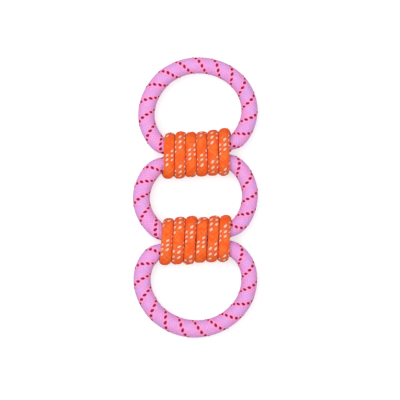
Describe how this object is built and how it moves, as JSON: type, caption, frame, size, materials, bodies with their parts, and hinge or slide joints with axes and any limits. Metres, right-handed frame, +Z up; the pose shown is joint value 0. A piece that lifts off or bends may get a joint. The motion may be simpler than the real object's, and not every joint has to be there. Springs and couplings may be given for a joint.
{
  "type": "rope tug toy",
  "caption": "Row of braided rope rings, bound to each other side by side with tightly wound cord, to hold at either end and pull.",
  "frame": {"origin": "middle of the toy's box, on the floor that the back of the wound cords rests on", "axes": "+Y along the row of rings, towards the top ring; +Z up through the rings' thickness, towards the front; +X to the right"},
  "size_m": [0.135, 0.302, 0.0345],
  "materials": {
    "pink_rope": "braided synthetic yarn, light pink with two dark crimson tracer yarns",
    "orange_cord": "braided synthetic yarn, bright orange with cream tracer yarns",
    "core_fibre": "undyed straight fibre inside the sheaths"
  },
  "bodies": {
    "middle_ring": {"middle_ring_sheath": "pink_rope", "middle_ring_core": "core_fibre"},
    "upper_binding": {"upper_binding_sheath": "orange_cord", "upper_binding_core": "core_fibre"},
    "lower_binding": {"lower_binding_sheath": "orange_cord", "lower_binding_core": "core_fibre"},
    "top_ring": {"top_ring_sheath": "pink_rope", "top_ring_core": "core_fibre"},
    "bottom_ring": {"bottom_ring_sheath": "pink_rope", "bottom_ring_core": "core_fibre"}
  },
  "joints": [
    {"name": "upper_binding_fold", "type": "hinge", "parent": "middle_ring", "child": "upper_binding", "pos_m": [0.00142, 0.03838, 0.01699], "axis": [0.9981, 0.061, 0], "range_deg": [-30, 30], "stiffness_Nm_per_rad": 1},
    {"name": "lower_binding_fold", "type": "hinge", "parent": "middle_ring", "child": "lower_binding", "pos_m": [-0.00067, -0.03879, 0.01699], "axis": [0.9981, 0.061, 0], "range_deg": [-30, 30], "stiffness_Nm_per_rad": 1},
    {"name": "top_ring_fold", "type": "hinge", "parent": "upper_binding", "child": "top_ring", "pos_m": [0.00046, 0.05405, 0.01699], "axis": [0.9981, 0.061, 0], "range_deg": [-30, 30], "stiffness_Nm_per_rad": 1},
    {"name": "bottom_ring_fold", "type": "hinge", "parent": "lower_binding", "child": "bottom_ring", "pos_m": [0.00028, -0.05446, 0.01699], "axis": [0.9981, 0.061, 0], "range_deg": [-30, 30], "stiffness_Nm_per_rad": 1}
  ]
}
